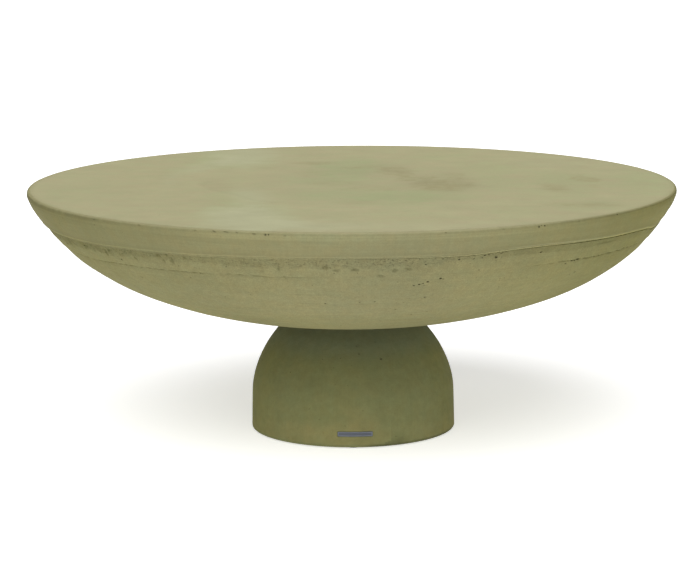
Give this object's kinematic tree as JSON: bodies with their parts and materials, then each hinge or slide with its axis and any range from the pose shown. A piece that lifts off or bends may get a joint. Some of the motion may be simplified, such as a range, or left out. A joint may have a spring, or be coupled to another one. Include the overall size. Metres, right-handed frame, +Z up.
{
  "type": "coffee table",
  "caption": "Round pedestal coffee table in cast green-brown concrete: a flat-topped, lens-shaped tabletop bolted down onto a small domed pedestal.",
  "frame": {"origin": "centre of the pedestal's foot, on the floor", "axes": "+Z up along the table's axis of revolution; -Y is the side with the small metal plate, which faces the viewer in the picture; +X is to that viewer's right"},
  "size_m": [0.9999, 1, 0.383],
  "materials": {
    "concrete_top": "matte",
    "concrete_bowl": "matte",
    "concrete_pedestal": "matte",
    "mortar": "matte",
    "foam": "matte",
    "zinc_steel": "satin",
    "nameplate_steel": "satin",
    "rubber": "matte",
    "adhesive": "matte"
  },
  "bodies": {
    "root": {"tabletop_slab": "concrete_top", "seam_mortar": "mortar", "bowl_shell": "concrete_bowl", "foam_core": "foam", "anchor_plate": "zinc_steel", "anchor_sockets": "zinc_steel", "seat_gasket": "rubber", "pedestal_shell": "concrete_pedestal", "clamp_plate": "zinc_steel", "flat_washers": "zinc_steel", "lock_washers": "zinc_steel", "fixing_bolts": "zinc_steel", "floor_pads": "rubber", "nameplate": "nameplate_steel", "nameplate_adhesive": "adhesive"}
  },
  "joints": []
}
